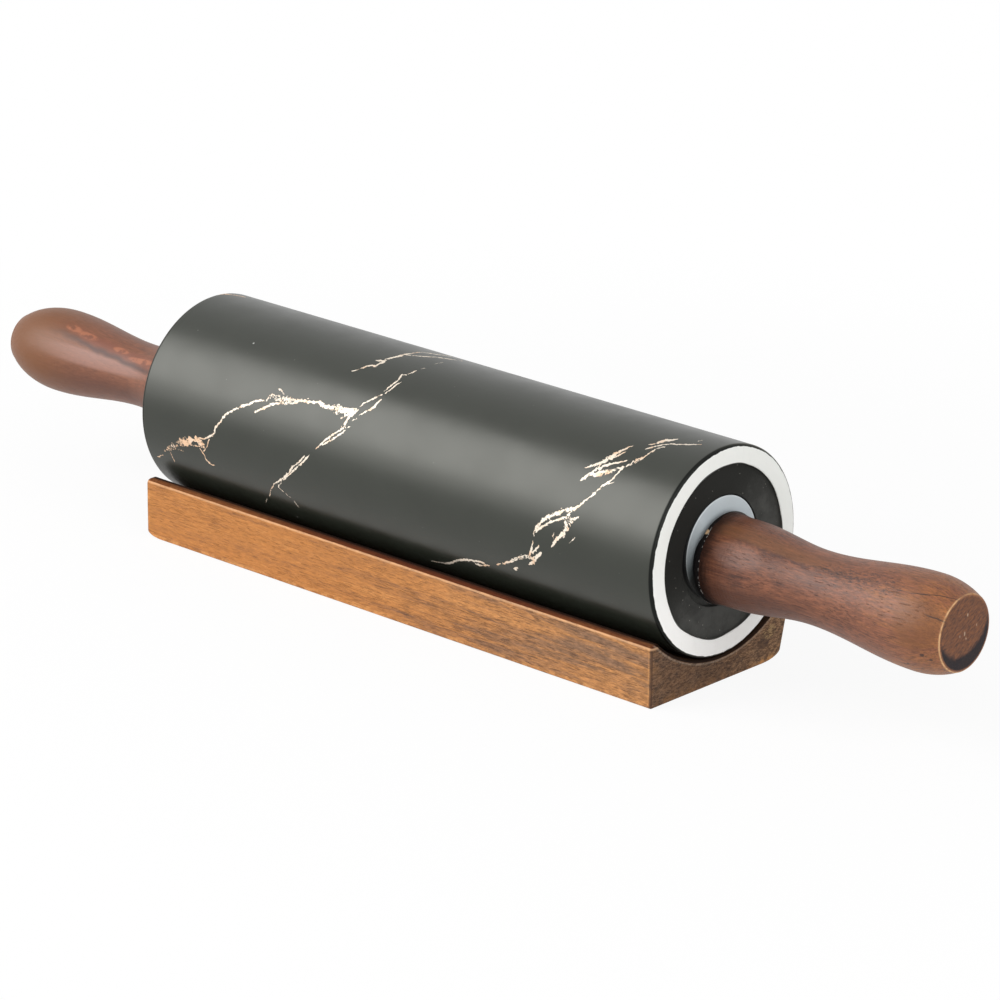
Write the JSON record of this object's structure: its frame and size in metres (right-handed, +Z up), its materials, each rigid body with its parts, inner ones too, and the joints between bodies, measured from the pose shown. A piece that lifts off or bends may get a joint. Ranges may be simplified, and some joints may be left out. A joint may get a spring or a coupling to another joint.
{
  "type": "marble rolling pin",
  "caption": "Rolling pin: a glazed ceramic barrel with a marble look turns on a steel axle between turned wooden handles, and rests in a wooden cradle.",
  "frame": {"origin": "on the table under the cradle, midway along the pin and under its axis", "axes": "+X along the pin towards the near handle, +Y to the back, +Z up"},
  "size_m": [0.4348, 0.072, 0.0816],
  "materials": {
    "cradle_wood": "thin satin oil",
    "barrel_glaze": "satin black glaze with gold veins, bare white foot ring at the near end",
    "bush_plastic": "smooth moulded",
    "steel": "turned",
    "insert_brass": "turned",
    "handle_wood": "stained and satin lacquered"
  },
  "bodies": {
    "cradle": {"cradle": "cradle_wood"},
    "handles": {"axle_rod": "steel", "near_washer": "steel", "far_washer": "steel", "near_insert": "insert_brass", "far_insert": "insert_brass", "near_handle": "handle_wood", "far_handle": "handle_wood"},
    "barrel": {"barrel_shell": "barrel_glaze", "near_bush": "bush_plastic", "far_bush": "bush_plastic"}
  },
  "joints": [
    {"name": "pin_lift", "type": "slide", "parent": "cradle", "child": "handles", "axis": [0, 0, 1], "range_m": [0, 0.1]},
    {"name": "barrel_spin", "type": "hinge", "parent": "handles", "child": "barrel", "pos_m": [0, 0, 0.0456], "axis": [1, 0, 0], "continuous": true}
  ]
}
